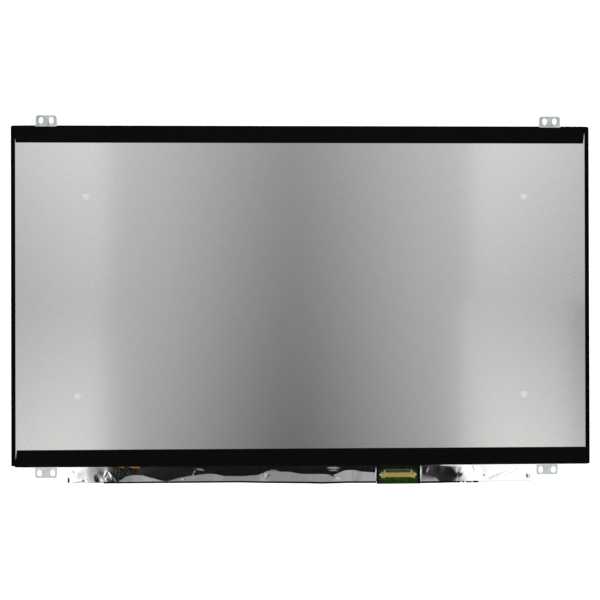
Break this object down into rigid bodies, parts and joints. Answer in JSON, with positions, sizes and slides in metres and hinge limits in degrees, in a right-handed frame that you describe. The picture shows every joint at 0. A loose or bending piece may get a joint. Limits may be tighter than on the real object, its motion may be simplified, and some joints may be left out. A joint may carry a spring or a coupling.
{
  "type": "laptop screen panel",
  "caption": "Slim laptop display module, rear side up: framed glass cell and backlight, bare metal rear plate, slotted corner brackets, foil-wrapped driver board with connector.",
  "frame": {"origin": "middle of the body's outline, on the viewing face that the panel lies on", "axes": "+X along the long edge, +Y from the connector edge to the opposite long edge, +Z from the viewing face to the rear"},
  "size_m": [0.3594, 0.2294, 0.0032],
  "materials": {
    "polarizer_film": "fine anti-glare haze",
    "display_glass": "polished",
    "black_tape": "satin film",
    "black_moulding": "fine moulded grain",
    "optical_film": "translucent",
    "light_guide": "clear",
    "white_film": "white",
    "amber_flex": "amber film",
    "led_body": "white body with yellow phosphor",
    "bare_plate": "rolled, fine grain along the long edge",
    "galvanised_sheet": "zinc coated",
    "board_green": "solder mask",
    "bare_silicon": "polished back",
    "chip_resin": "moulded",
    "ferrite": "sintered",
    "capacitor_ceramic": "fired",
    "resistor_ceramic": "fired",
    "connector_plastic": "moulded",
    "gilt_metal": "gilt, satin",
    "contact_metal": "tinned",
    "black_film": "glossy film",
    "bright_foil": "bright, crumpled"
  },
  "bodies": {
    "root": {"front_polarizer": "polarizer_film", "color_filter_glass": "display_glass", "tft_glass": "display_glass", "rear_polarizer": "polarizer_film", "cell_rim_tape": "black_tape", "mold_frame": "black_moulding", "upper_prism_sheet": "optical_film", "lower_prism_sheet": "optical_film", "diffuser_sheet": "optical_film", "light_guide_plate": "light_guide", "reflector_sheet": "white_film", "led_strip_flex": "amber_flex", "led_packages": "led_body", "rear_plate": "bare_plate", "top_edge_tape": "black_tape", "bottom_edge_tape": "black_tape", "bracket_top_left": "galvanised_sheet", "bracket_top_right": "galvanised_sheet", "bracket_bottom_left": "galvanised_sheet", "bracket_bottom_right": "galvanised_sheet", "control_board": "board_green", "source_flex_1": "amber_flex", "source_flex_2": "amber_flex", "source_flex_3": "amber_flex", "source_flex_4": "amber_flex", "driver_chip_1": "bare_silicon", "driver_chip_2": "bare_silicon", "driver_chip_3": "bare_silicon", "driver_chip_4": "bare_silicon", "timing_controller": "chip_resin", "supply_chip": "chip_resin", "supply_inductor": "ferrite", "backlight_driver_chip": "chip_resin", "chip_capacitors": "capacitor_ceramic", "chip_resistors": "resistor_ceramic", "connector_housing": "connector_plastic", "connector_shell": "gilt_metal", "connector_contacts": "contact_metal", "insulating_film_left": "black_film", "insulating_film_right": "black_film", "foil_left": "bright_foil", "foil_right": "bright_foil"}
  },
  "joints": []
}
